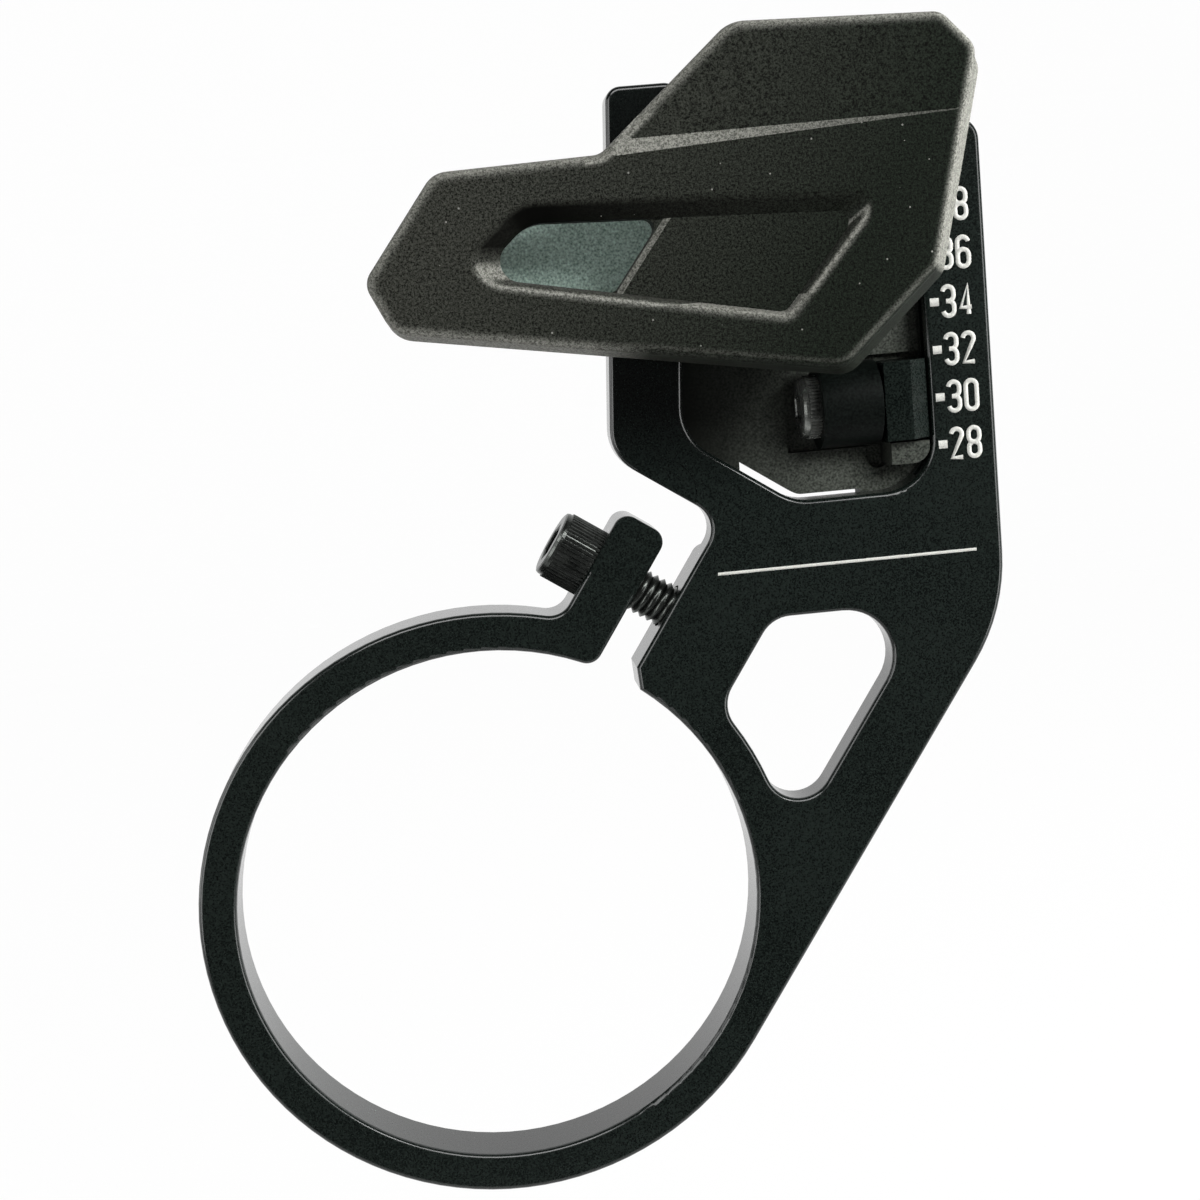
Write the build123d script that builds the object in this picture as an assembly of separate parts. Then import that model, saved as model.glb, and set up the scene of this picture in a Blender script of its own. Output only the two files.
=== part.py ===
from build123d import *
import math
import os

# Top chain guide for a bicycle with one chainring, in millimetres.
# The origin is the centre of the clamp bore at half the ring's depth.
# Y runs along the bore towards the frame, Z along the height scale and X across the plate.

# Clamp ring round the bottom bracket shell
bore_radius = 23.0
ring_wall = 3.35
ring_depth = 5.5
front_round = 0.45
back_chamfer = 0.2

# Slit and clamp ears, along and across the arm's direction
arm_angle = 55.5
slit_offset = 1.6
slit_gap = 3.3
left_ear_height = 12.9
right_ear_height = 14.0
left_ear_thickness = 4.65
right_ear_thickness = 7.0
ear_corner_radius = 1.3
ear_root_radius = 2.0
mouth_height = 1.55
mouth_width = 1.25
tip_radius = 1.4
spot_radius = 3.0
spot_height = 9.1
spot_depth = 0.12

# Web, arm and open fork
web_thickness = 3.2
arm_wall = 6.25
arm_corner_radius = 17.0
fork_rise = 7.1
fork_floor = 10.05
slot_right = 41.4
slot_left = 19.13
slot_radius = 4.5
slot_bevel_start = 28.9
ledge_width = 4.5
notch_radius = 2.4
rail_width = 5.7
rail_height = 31.55
rail_corner_radius = 2.0
limb_width = 6.3
limb_lean = 4.15
limb_height = 36.3
limb_corner_radius = 1.3
limb_foot_radius = 4.0
hole_left_wall = 8.3
hole_radius = 3.0
hole_corner_radius = 4.2

# Dovetail groove in the rail's inner wall
groove_depth = 1.2
groove_mouth = 1.0
groove_floor = 1.7

# Clamp screw, size 4
clamp_thread = 4.0
clamp_head_diameter = 6.2
clamp_head_height = 3.8
clamp_socket_flats = 3.0
clamp_hole_diameter = 4.3
clamp_screw_length = 12.0
clamp_screw_height = 7.4

# Lock screw and countersunk screws, size 3
thread_diameter = 3.0
lock_head_diameter = 5.5
lock_head_height = 3.0
lock_socket_flats = 2.5
lock_screw_length = 7.0
clearance_hole_diameter = 3.3
head_chamfer = 0.3
thread_gap = 0.05
flat_head_diameter = 5.6
flat_head_height = 1.3
flat_socket_flats = 2.0
flat_socket_depth = 0.9
guide_screw_length = 9.0

# Running and seating clearances
face_clearance = 0.2
wall_clearance = 0.25
seat_clearance = 0.1
jaw_gap = 0.3
groove_clearance = 0.15

# Guide plates, measured from the fork's lower right corner
inner_plate_thickness = 1.8
chain_gap = 8.8
band_thickness = 3.4
field_drop = 0.5
guide_inset = 1.2
edge_round = 1.0
nose_tip = (-47.3, 21.45)
nose_crown = (-41.15, 29.4)
shoulder = (-28.1, 29.75)
roof_left = (-17.2, 39.05)
roof_right = (-0.6, 38.55)
roof_corner = (2.1, 35.65)
heel_top = (-2.0, 18.85)
heel_bottom = (-10.1, 11.45)
nose_chin = (-45.4, 17.35)
nose_radius = 2.2
roof_radius = 3.0
corner_radius = 1.6
heel_radius = 2.4
right_flare = 1.1
heel_flare = 1.0
bottom_flare = 0.4
crease_left = (-27.8, 29.45)
crease_right = (-2.8, 30.75)
crease_slope = 0.4

# Recess and window in the outer plate's band
recess_depth = 1.1
rim_round = 1.0
recess_left = (-40.6, 21.25)
recess_top_left = (-34.9, 26.35)
recess_top_right = (-6.3, 25.15)
recess_bottom_right = (-14.3, 16.05)
nose_slope = 1.5
top_slope = 1.35
side_slope = 0.35
recess_nose_radius = 1.6
recess_top_radius = 3.2
recess_corner_radius = 0.9
window_top = (-23.4, 24.65)
window_bottom = (-27.4, 19.45)
window_corner_radius = 0.8
window_lip = 0.18
lip_slope = 2.5

# Roof and screw posts behind the outer plate
roof_thickness = 2.2
roof_drop = 0.5
roof_margin = 2.0
post_diameter = 6.2
post_drop = 1.6
post_inset = 2.6

# Neck and rear plate of the inner guide
neck_bottom = 17.05
neck_top = 24.65
neck_left = -19.0
rear_thickness = 2.1
rear_left = -24.2
rear_right = 3.8
rear_top = 25.65
rear_floor = 0.26
rear_corner_radius = 1.5
lobe_drop = 1.5
lobe_corner_radius = 0.5
left_lobe_right = -16.6
left_lobe_bottom = 2.55
right_lobe_left = -6.0
diagonal_clearance = 0.67

# Barrel, pocket, pointer foot and lock jaw
barrel_diameter = 7.4
barrel_left = -9.8
barrel_length = 5.2
barrel_height = 7.95
barrel_depth = 1.25
counterbore_depth = 1.4
pocket_depth = 1.2
pocket_margin = 2.4
pocket_rim = 0.3
foot_width = 3.4
foot_height = 1.9
foot_bottom = 2.35
foot_setback = 0.1
foot_round = 1.5
relief_radius = 1.15
relief_inset = 0.6
relief_rise = 0.75
jaw_height = 6.8
jaw_depth = 2.9
jaw_chamfer = 1.7

# Depths along Y
face_front = -ring_depth / 2
ring_back = ring_depth / 2
web_back = face_front + web_thickness
inner_back = face_front - face_clearance
inner_front = inner_back - inner_plate_thickness
outer_back = inner_front - chain_gap
outer_front = outer_back - band_thickness
rear_front = web_back + face_clearance
rear_back = rear_front + rear_thickness
pocket_floor = rear_front + pocket_depth
barrel_axis = face_front + barrel_depth

# Heights and places worked out from the values above
ring_radius = bore_radius + ring_wall
slit_right = -slit_offset + slit_gap / 2
slit_left = -slit_offset - slit_gap / 2
left_ear_top = bore_radius + left_ear_height
right_ear_top = bore_radius + right_ear_height
slot_bottom = ring_radius + fork_rise
hole_top = slot_bottom - fork_floor
rail_top = slot_bottom + rail_height
limb_top = slot_bottom + limb_height
rail_right = slot_right + rail_width
guide_right = slot_right - wall_clearance
barrel_start = slot_right + barrel_left
barrel_end = barrel_start + barrel_length
barrel_z = slot_bottom + barrel_height
lean_slope = math.tan(math.radians(limb_lean))
along_x = math.cos(math.radians(arm_angle))
along_z = math.sin(math.radians(arm_angle))


def slanted(across, along):
    """Point of the plate, given across and along the arm's direction from the bore's centre."""
    return (along_z * across + along_x * along, along_z * along - along_x * across)


def from_fork(corner):
    """Point of the plate, given from the fork's lower right corner."""
    return (slot_right + corner[0], slot_bottom + corner[1])


def rounded(corners):
    """Closed outline through (point, radius) corners, each with its own round."""
    points = [point for point, radius in corners]
    radii = [radius for point, radius in corners]
    return make_face(FilletPolyline(*points, radius=radii, close=True))


def at_depth(depth):
    """Drawing plane across Y at the given depth, with X to the right and Z up."""
    return Plane.XZ.offset(-depth)


def prism(profile, front, back):
    """Solid between two depths with the given outline."""
    return extrude(at_depth(back) * profile, amount=back - front)


def block(x_range, y_range, z_range):
    """Box between the given limits."""
    size = [high - low for low, high in (x_range, y_range, z_range)]
    middle = [(high + low) / 2 for low, high in (x_range, y_range, z_range)]
    return Pos(*middle) * Box(*size)


def rod(start, direction, diameter, length):
    """Cylinder from a start point along a direction."""
    seat = Plane(origin=start, z_dir=direction)
    return seat * Cylinder(diameter / 2, length, align=(Align.CENTER, Align.CENTER, Align.MIN))


def sunk_hex(flats, depth):
    """Hexagon recess reaching from depth down to zero along Z."""
    return extrude(RegularPolygon(flats / 2, 6, major_radius=False), amount=depth)


def cap_screw(seat, thread, length, head_diameter, head_height, flats):
    """Socket cap screw whose head stands on the seat plane and whose shank runs along its normal."""
    base = (Align.CENTER, Align.CENTER, Align.MIN)
    head = Pos(0, 0, -head_height) * Cylinder(head_diameter / 2, head_height, align=base)
    head = chamfer(head.edges().sort_by(Axis.Z)[0], head_chamfer)
    shank = Cylinder(thread / 2, length, align=base)
    shank = chamfer(shank.edges().sort_by(Axis.Z)[-1], head_chamfer)
    socket = Pos(0, 0, -head_height) * sunk_hex(flats, head_height / 2)
    return seat * (head + shank - socket)


def flat_screw(seat, length):
    """Countersunk screw whose head is flush with the seat plane and whose shank runs along its normal."""
    base = (Align.CENTER, Align.CENTER, Align.MIN)
    head = Cone(flat_head_diameter / 2, thread_diameter / 2, flat_head_height, align=base)
    shank = Cylinder(thread_diameter / 2, length, align=base)
    return seat * (head + shank - sunk_hex(flat_socket_flats, flat_socket_depth))


def flat_seat(seat, length):
    """Countersunk hole for a flat screw, a seat clearance larger all round."""
    base = (Align.CENTER, Align.CENTER, Align.MIN)
    head_radius = flat_head_diameter / 2 + seat_clearance
    cone = Cone(head_radius, thread_diameter / 2 + seat_clearance, flat_head_height, align=base)
    hole = Cylinder(clearance_hole_diameter / 2, length, align=base)
    return seat * (cone + hole)


def slot_edge(height, offset=0.0):
    """X of the leaning limb's inner edge at a height, moved left by an offset."""
    return slot_left + (height - slot_bottom) * lean_slope - offset / math.cos(math.radians(limb_lean))


def limb_meets(along, offset=0.0):
    """Point where the limb's edge crosses a line across the arm's direction."""
    start = slot_edge(slot_bottom, offset) - slot_bottom * lean_slope
    height = (along - start * along_x) / (lean_slope * along_x + along_z)
    return (start + height * lean_slope, height)


# Backplate
slot_along = along_x * slot_bevel_start + along_z * slot_bottom
ledge_along = slot_along - ledge_width
arm_corner = (rail_right, (along_z * rail_right - ring_radius) / along_x)


def web_profile():
    """Outline of the thin web: arm, fork limb and scale rail."""
    outline = rounded([
        ((rail_right, rail_top), rail_corner_radius),
        (arm_corner, arm_corner_radius),
        (slanted(ring_radius, 0), 0),
        (slanted(slit_right, 0), 0),
        (slanted(slit_right, ledge_along), notch_radius),
        (limb_meets(ledge_along, limb_width), limb_foot_radius),
        ((slot_edge(limb_top, limb_width), limb_top), limb_corner_radius),
        ((slot_edge(limb_top), limb_top), limb_corner_radius),
        (limb_meets(slot_along), slot_radius),
        ((slot_bevel_start, slot_bottom), slot_radius),
        ((slot_right, slot_bottom), slot_radius),
        ((slot_right, rail_top), limb_corner_radius),
    ])
    return outline - Circle(bore_radius) - hole_profile()


def hole_profile():
    """Lightening hole between the ring, the slit, the fork's floor and the arm's outer wall."""
    left = slit_right + hole_left_wall
    right = ring_radius - arm_wall
    corners = [
        slanted(left, 0),
        slanted(left, (hole_top + along_x * left) / along_z),
        slanted(right, (hole_top + along_x * right) / along_z),
        slanted(right, 0),
    ]
    wedge = make_face(Polyline(*corners, close=True))
    hole = wedge - Circle(ring_radius)
    hole = fillet(hole.vertices().sort_by_distance(corners[2])[1:], hole_radius)
    return fillet(hole.vertices().sort_by_distance(corners[2])[0], hole_corner_radius)


def clamp_profile():
    """Split ring with its two ears."""
    outer = slit_left - left_ear_thickness
    left_ear = rounded([
        (slanted(outer, 0), 0),
        (slanted(outer, left_ear_top), ear_corner_radius),
        (slanted(slit_left, left_ear_top), ear_corner_radius),
        (slanted(slit_left, 0), 0),
    ])
    right_ear = rounded([
        (slanted(slit_right, 0), 0),
        (slanted(slit_right, right_ear_top), ear_corner_radius),
        (slanted(slit_right + right_ear_thickness, right_ear_top), ear_corner_radius),
        (slanted(slit_right + right_ear_thickness, 0), 0),
    ])
    slit = make_face(Polyline(
        slanted(slit_left, 0),
        slanted(slit_left, left_ear_top),
        slanted(slit_right, left_ear_top),
        slanted(slit_right, 0),
        close=True,
    ))
    ring = Circle(ring_radius) + left_ear + right_ear - slit - Circle(bore_radius)
    root = slanted(outer, math.sqrt(ring_radius**2 - outer**2))
    ring = fillet(ring.vertices().sort_by_distance(root)[0], ear_root_radius)
    tip = slanted(slit_left, math.sqrt(bore_radius**2 - slit_left**2))
    return fillet(ring.vertices().sort_by_distance(tip)[0], tip_radius)


def mouth_profile():
    """Corner between the right slit face and the bore that is broken off."""
    inner = slit_right + mouth_width
    return make_face(Polyline(
        slanted(slit_right, bore_radius + mouth_height),
        slanted(inner, math.sqrt(bore_radius**2 - inner**2)),
        slanted(slit_right, bore_radius - mouth_height),
        close=True,
    ))


def spot_profile():
    """Pass of a round cutter down the left ear's face, ending in an arc."""
    middle = slit_left - left_ear_thickness / 2
    ends = [slanted(middle, bore_radius + spot_height), slanted(middle, left_ear_top + spot_radius)]
    circles = [Pos(*end) * Circle(spot_radius) for end in ends]
    return make_hull([circle.edge() for circle in circles])


def groove_profile(size):
    """Dovetail across the rail's inner wall, grown by a clearance of the given size."""
    middle = (face_front + web_back) / 2
    half_mouth = groove_mouth / 2 + size
    half_floor = groove_floor / 2 + size
    floor_x = slot_right + groove_depth + size
    start_x = guide_right - groove_depth
    return make_face(Polyline(
        (start_x, middle - half_mouth),
        (slot_right, middle - half_mouth),
        (floor_x, middle - half_floor),
        (floor_x, middle + half_floor),
        (slot_right, middle + half_mouth),
        (start_x, middle + half_mouth),
        close=True,
    ))


clamp_axis = slanted(1, 0)
clamp_direction = (clamp_axis[0], 0, clamp_axis[1])
clamp_along = bore_radius + clamp_screw_height
clamp_slit = slanted(slit_right, clamp_along)
clamp_point = slanted(slit_left - left_ear_thickness, clamp_along)
clamp_plane = Plane(origin=(clamp_point[0], 0, clamp_point[1]), z_dir=clamp_direction)

backplate = prism(clamp_profile(), face_front, ring_back) + prism(web_profile(), face_front, web_back)
backplate -= prism(mouth_profile(), face_front, ring_back)
backplate = fillet(backplate.faces().sort_by(Axis.Y)[0].edges(), front_round)
backplate -= prism(spot_profile(), face_front, face_front + spot_depth)
backplate = chamfer(backplate.faces().sort_by(Axis.Y)[-1].edges(), back_chamfer)
backplate -= rod((clamp_point[0], 0, clamp_point[1]), clamp_direction, clamp_hole_diameter,
                 left_ear_thickness)
backplate -= rod((clamp_slit[0], 0, clamp_slit[1]), clamp_direction, clamp_thread + 2 * thread_gap,
                 right_ear_thickness)
groove = Pos(0, 0, slot_bottom) * groove_profile(0)
backplate -= extrude(groove, amount=rail_height)

# Clamp screw
clamp_screw = cap_screw(clamp_plane, clamp_thread, clamp_screw_length, clamp_head_diameter,
                        clamp_head_height, clamp_socket_flats)

# Outer guide
front_corners = [
    nose_tip, nose_crown, shoulder, roof_left, roof_right, roof_corner, heel_top, heel_bottom, nose_chin,
]
corner_radii = [
    corner_radius, nose_radius, corner_radius, roof_radius, corner_radius, corner_radius, corner_radius,
    heel_radius, heel_radius,
]
edge_flares = [0, 0, 0, 0, 0, right_flare, heel_flare, bottom_flare, 0]


def crossing(point, run, other_point, other_run):
    """Point where two lines of the plate cross, each given by a point and a direction."""
    turn = run[0] * other_run[1] - run[1] * other_run[0]
    gap = (other_point[0] - point[0], other_point[1] - point[1])
    share = (gap[0] * other_run[1] - gap[1] * other_run[0]) / turn
    return (point[0] + share * run[0], point[1] + share * run[1])


def flared(corners, flares):
    """Corners of a clockwise outline with the edge after each corner moved out by its flare."""
    edges = []
    for start, end, flare in zip(corners, corners[1:] + corners[:1], flares):
        run = (end[0] - start[0], end[1] - start[1])
        length = math.hypot(*run)
        edges.append(((start[0] - flare * run[1] / length, start[1] + flare * run[0] / length), run))
    return [crossing(*edges[index - 1], *edges[index]) for index in range(len(edges))]


def guide_outline(corners):
    """Outline of a guide plate from corners given from the fork."""
    return rounded([(from_fork(corner), radius) for corner, radius in zip(corners, corner_radii)])


crease_start = from_fork(crease_left)
crease_end = from_fork(crease_right)
crease_run = Vector(crease_end[0] - crease_start[0], 0, crease_end[1] - crease_start[1]).normalized()
crease_face = Plane(
    origin=(crease_start[0], outer_front, crease_start[1]),
    z_dir=(-crease_slope * crease_run.Z, -1, crease_slope * crease_run.X),
)
hinge = from_fork(roof_corner)
field_face = Plane(
    origin=(hinge[0], outer_front, hinge[1]),
    z_dir=(field_drop, hinge[0] - crease_start[0], 0),
)
straight = prism(guide_outline(front_corners), outer_front, outer_back)
band = fillet(straight.faces().sort_by(Axis.Y)[0].edges(), edge_round)
band = split(band, bisect_by=crease_face, keep=Keep.BOTTOM)
field = split(straight, bisect_by=field_face, keep=Keep.TOP)
field = fillet(field.faces().sort_by(Axis.Y)[0].edges(), edge_round)
skirt = loft([
    at_depth(outer_front + field_drop + edge_round) * guide_outline(front_corners),
    at_depth(outer_back) * guide_outline(flared(front_corners, edge_flares)),
], ruled=True)
plate = band + field + skirt


recess_rim = [recess_left, recess_top_left, recess_top_right, recess_bottom_right]
recess_floor = flared(recess_rim, [-nose_slope, -top_slope, -side_slope, -side_slope])
recess_radii = [recess_nose_radius, recess_top_radius, recess_corner_radius, recess_corner_radius]
floor_front = outer_front + recess_depth


def recess_outline(corners):
    """Outline of the recess at one depth, with the same corner rounds at every depth."""
    return rounded([(from_fork(corner), radius) for corner, radius in zip(corners, recess_radii)])


recess = loft([
    at_depth(outer_front) * recess_outline(recess_rim),
    at_depth(floor_front) * recess_outline(recess_floor),
], ruled=True)
window_end = from_fork(window_top)
window_run = Vector(window_bottom[0] - window_top[0], 0, window_bottom[1] - window_top[1]).normalized()
window_side = Plane(
    origin=(window_end[0], floor_front, window_end[1]),
    z_dir=(window_run.Z, 0, -window_run.X),
)
lip_side = Plane(
    origin=(window_end[0], floor_front + window_lip, window_end[1]),
    z_dir=(window_run.Z, -lip_slope, -window_run.X),
)
window = prism(recess_outline(recess_floor), floor_front, outer_back)
window = split(window, bisect_by=window_side, keep=Keep.TOP)
window = fillet(window.edges().filter_by(Axis.Y).sort_by(Axis.X)[-2:], window_corner_radius)
lip = prism(recess_outline(recess_floor), floor_front, floor_front + window_lip)
lip = split(lip, bisect_by=lip_side, keep=Keep.TOP)
plate = plate - recess - window - lip
band_front = plate.faces().sort_by(Axis.Y)[0]
plate = fillet(band_front.inner_wires()[0].edges(), rim_round)

roof_z = slot_bottom + roof_right[1] - guide_inset - roof_drop
roof_x = (slot_right + roof_left[0] + roof_margin, slot_right + roof_right[0] - roof_margin)
post_z = roof_z - roof_thickness - post_drop
post_places = [roof_x[0] + post_inset, roof_x[1] - post_inset]
outer_guide = plate + block(roof_x, (outer_back, inner_front), (roof_z - roof_thickness, roof_z))
for post_x in post_places:
    outer_guide += rod((post_x, outer_back, post_z), (0, 1, 0), post_diameter, chain_gap)
guide_screw_planes = [Plane(origin=(x, inner_back, post_z), z_dir=(0, -1, 0)) for x in post_places]
for plane in guide_screw_planes:
    outer_guide -= rod(plane.origin, plane.z_dir, thread_diameter + 2 * thread_gap,
                       guide_screw_length + seat_clearance)

# Screws of the outer guide
guide_screws = [flat_screw(plane, guide_screw_length) for plane in guide_screw_planes]
outer_guide_screws = Compound(children=guide_screws)

# Inner guide
inner_plate = prism(offset(guide_outline(front_corners), amount=-guide_inset), inner_front, inner_back)
neck = block(
    (slot_right + neck_left, guide_right),
    (inner_back, rear_front),
    (slot_bottom + neck_bottom, slot_bottom + neck_top),
)
diagonal = slot_along + diagonal_clearance
floor_z = slot_bottom + rear_floor
lobe_x = slot_right + left_lobe_right
lobe_z = slot_bottom + left_lobe_bottom
rear_profile = rounded([
    ((slot_right + rear_left, lobe_z), rear_corner_radius),
    ((lobe_x, lobe_z), lobe_corner_radius),
    ((lobe_x, (diagonal - along_x * lobe_x) / along_z), 0),
    (((diagonal - along_z * floor_z) / along_x, floor_z), rear_corner_radius),
    ((slot_right + right_lobe_left, floor_z), 0),
    ((slot_right + right_lobe_left, floor_z - lobe_drop), lobe_corner_radius),
    ((slot_right + rear_right, floor_z - lobe_drop), rear_corner_radius),
    ((slot_right + rear_right, slot_bottom + rear_top), rear_corner_radius),
    ((slot_right + rear_left, slot_bottom + rear_top), rear_corner_radius),
])
rear_plate = prism(rear_profile, rear_front, rear_back)
pocket_half = barrel_diameter / 2 + pocket_rim
pocket_left = barrel_start - pocket_margin
pocket_z = (barrel_z - pocket_half, barrel_z + pocket_half)
rear_plate -= block((pocket_left, slot_right), (rear_front, pocket_floor), pocket_z)
foot_x = guide_right - foot_width
foot_z = slot_bottom + foot_bottom
relief_start = (foot_x + relief_inset - relief_radius, rear_front, foot_z + relief_rise)
rear_plate -= rod(relief_start, (0, 1, 0), 2 * relief_radius, pocket_depth)
foot_profile = rounded([
    ((foot_x, foot_z), 0),
    ((guide_right, foot_z), foot_round),
    ((guide_right, foot_z + foot_height), 0),
    ((foot_x, foot_z + foot_height), 0),
])
foot = prism(foot_profile, face_front + foot_setback, rear_back)
barrel = rod((barrel_start, barrel_axis, barrel_z), (1, 0, 0), barrel_diameter, barrel_length)
inner_guide = inner_plate + neck + rear_plate + foot + barrel
inner_guide -= rod((barrel_start, barrel_axis, barrel_z), (1, 0, 0), clearance_hole_diameter, barrel_length)
inner_guide -= rod((barrel_start, barrel_axis, barrel_z), (1, 0, 0), lock_head_diameter + 2 * seat_clearance,
                   counterbore_depth)
for plane in guide_screw_planes:
    inner_guide -= flat_seat(plane, inner_plate_thickness)

# Lock screw
lock_seat = Plane(origin=(barrel_start + counterbore_depth, barrel_axis, barrel_z), z_dir=(1, 0, 0))
lock_screw = cap_screw(lock_seat, thread_diameter, lock_screw_length, lock_head_diameter,
                       lock_head_height, lock_socket_flats)

# Lock jaw
jaw_x = (barrel_end + jaw_gap, guide_right)
jaw_z = (barrel_z - jaw_height / 2, barrel_z + jaw_height / 2)
lock_jaw = block(jaw_x, (barrel_axis - jaw_depth, pocket_floor - seat_clearance), jaw_z)
lock_jaw = chamfer(lock_jaw.edges().filter_by(Axis.Z).sort_by(Axis.Y)[:2].sort_by(Axis.X)[-1], jaw_chamfer)
tongue = Pos(0, 0, jaw_z[0]) * groove_profile(-groove_clearance)
lock_jaw += extrude(tongue, amount=jaw_height)
screw_end = barrel_start + counterbore_depth + lock_screw_length
lock_jaw -= rod((jaw_x[0], barrel_axis, barrel_z), (1, 0, 0), thread_diameter + 2 * thread_gap,
                screw_end + seat_clearance - jaw_x[0])

nodes = {
    "backplate": backplate,
    "clamp_screw": clamp_screw,
    "inner_guide": inner_guide,
    "outer_guide": outer_guide,
    "outer_guide_screws": outer_guide_screws,
    "lock_screw": lock_screw,
    "lock_jaw": lock_jaw,
}
os.makedirs("parts", exist_ok=True)
for name, solid in nodes.items():
    export_step(solid, f"parts/{name}.step")
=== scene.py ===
"""Finishes, screws, scale marks, light and camera for a bicycle chain guide."""
import logging
import math
from collections.abc import Mapping, Sequence
from dataclasses import dataclass
from enum import Enum

import bmesh
import bpy
from mathutils import Matrix, Vector

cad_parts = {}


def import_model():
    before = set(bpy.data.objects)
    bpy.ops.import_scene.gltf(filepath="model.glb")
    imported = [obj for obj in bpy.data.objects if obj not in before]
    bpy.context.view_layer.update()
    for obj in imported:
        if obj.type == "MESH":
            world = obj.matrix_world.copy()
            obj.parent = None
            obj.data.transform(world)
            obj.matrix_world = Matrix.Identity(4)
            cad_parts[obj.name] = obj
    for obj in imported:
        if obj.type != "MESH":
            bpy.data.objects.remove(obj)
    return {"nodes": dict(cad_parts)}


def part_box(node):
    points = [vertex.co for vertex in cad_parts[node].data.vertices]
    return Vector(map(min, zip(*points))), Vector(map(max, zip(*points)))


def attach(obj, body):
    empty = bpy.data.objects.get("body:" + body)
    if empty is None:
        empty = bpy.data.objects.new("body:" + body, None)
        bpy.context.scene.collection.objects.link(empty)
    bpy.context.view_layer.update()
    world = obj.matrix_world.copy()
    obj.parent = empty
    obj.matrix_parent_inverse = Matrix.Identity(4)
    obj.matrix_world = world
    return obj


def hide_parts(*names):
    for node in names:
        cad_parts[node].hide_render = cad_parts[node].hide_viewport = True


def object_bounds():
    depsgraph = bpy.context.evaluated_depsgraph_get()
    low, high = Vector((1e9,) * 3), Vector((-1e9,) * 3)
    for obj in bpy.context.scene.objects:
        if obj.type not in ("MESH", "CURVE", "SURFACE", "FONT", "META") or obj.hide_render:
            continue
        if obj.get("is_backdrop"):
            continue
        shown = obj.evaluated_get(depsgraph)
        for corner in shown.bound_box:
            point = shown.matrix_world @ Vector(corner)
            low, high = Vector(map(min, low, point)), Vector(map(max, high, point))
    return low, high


LOG = logging.getLogger("chain_guide")
MM = 0.001
IMAGE_PIXELS = 1200
WHITE = (1.0, 1.0, 1.0, 1.0)

Colour = tuple[float, float, float]
Point = tuple[float, float]
Triple = tuple[float, float, float]


class Body(Enum):
    """Rigid bodies of the guide that a piece can ride on."""

    BACKPLATE = "backplate"
    GUIDE = "guide"


class Slot(Enum):
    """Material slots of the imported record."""

    STEEL = "black_steel"


class Reach(Enum):
    """What a lamp lights, as its visibility to matt surfaces and to gloss."""

    ALL = (True, True)
    MATT = (True, False)
    GLOSS = (False, True)


class RingShape(Enum):
    """Section of one row of a turned mesh."""

    ROUND = "round"
    HEXAGON = "hexagon"


@dataclass(frozen=True)
class Zone:
    """Box in the part's frame where a finish takes another colour, by its two corners."""

    low: Triple
    high: Triple


@dataclass(frozen=True)
class Value:
    """A node's socket that takes part in Python expressions."""

    graph: "NodeGraph"
    socket: bpy.types.NodeSocket

    def math(self, operation: str, first: object, second: object) -> "Value":
        """Adds one Math node.

        Args:
            operation: Name of the Math node's operation.
            first: First operand, a value or a number.
            second: Second operand, a value or a number.

        Returns:
            The node's result.
        """
        return self.graph.node("ShaderNodeMath", {"operation": operation}, {0: first, 1: second})

    def __add__(self, other: object) -> "Value":
        """Sum with another value or number."""
        return self.math("ADD", self, other)

    __radd__ = __add__

    def __sub__(self, other: object) -> "Value":
        """Difference from another value or number."""
        return self.math("SUBTRACT", self, other)

    def __rsub__(self, other: object) -> "Value":
        """A number with this value taken off."""
        return self.math("SUBTRACT", other, self)

    def __mul__(self, other: object) -> "Value":
        """Product with another value or number."""
        return self.math("MULTIPLY", self, other)

    __rmul__ = __mul__

    def __gt__(self, other: object) -> "Value":
        """One where this value is the greater, else zero."""
        return self.math("GREATER_THAN", self, other)

    def __lt__(self, other: object) -> "Value":
        """One where this value is the smaller, else zero."""
        return self.math("LESS_THAN", self, other)

    def largest(self, other: object) -> "Value":
        """Larger of this and another value."""
        return self.math("MAXIMUM", self, other)

    def clamped(self) -> "Value":
        """Same value kept from zero to one."""
        return self.math("MINIMUM", self.largest(0.0), 1.0)

    def stretched(self, gain: float) -> "Value":
        """Same value with its contrast round one half times a gain."""
        return (self - 0.5) * gain + 0.5

    def swing(self, amount: float) -> "Value":
        """Change about zero that spans an amount as this value runs from zero to one."""
        return amount * (self - 0.5)

    def ramp(self, start: float, run: float) -> "Value":
        """Zero at a start and one a run further on, straight between them and beyond."""
        return (self - start) * (1.0 / run)

    def blended(self, other: "Value", share: float) -> "Value":
        """This value with a share of another in its place."""
        return (1.0 - share) * self + share * other


class NodeGraph:
    """Node tree that one method fills."""

    def __init__(self, tree: bpy.types.NodeTree) -> None:
        """Empties the tree and keeps it."""
        self.tree = tree
        tree.nodes.clear()

    def node(
        self,
        kind: str,
        settings: Mapping[str, object] | None = None,
        inputs: Mapping[str | int, object] | None = None,
        output: str | int = 0,
    ) -> Value:
        """Adds one node.

        Args:
            kind: Blender's type name of the node.
            settings: Properties set before the sockets.
            inputs: Numbers or values by socket name or number; a list of values fills one socket.
            output: Socket to return, by name or number.

        Returns:
            The chosen output as a value.
        """
        node = self.tree.nodes.new(kind)
        for name, setting in (settings or {}).items():
            setattr(node, name, setting)
        for name, given in (inputs or {}).items():
            for one in given if isinstance(given, list) else [given]:
                if isinstance(one, Value):
                    self.tree.links.new(one.socket, node.inputs[name])
                else:
                    node.inputs[name].default_value = one
        return Value(self, node.outputs[output] if node.outputs else None)


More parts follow.
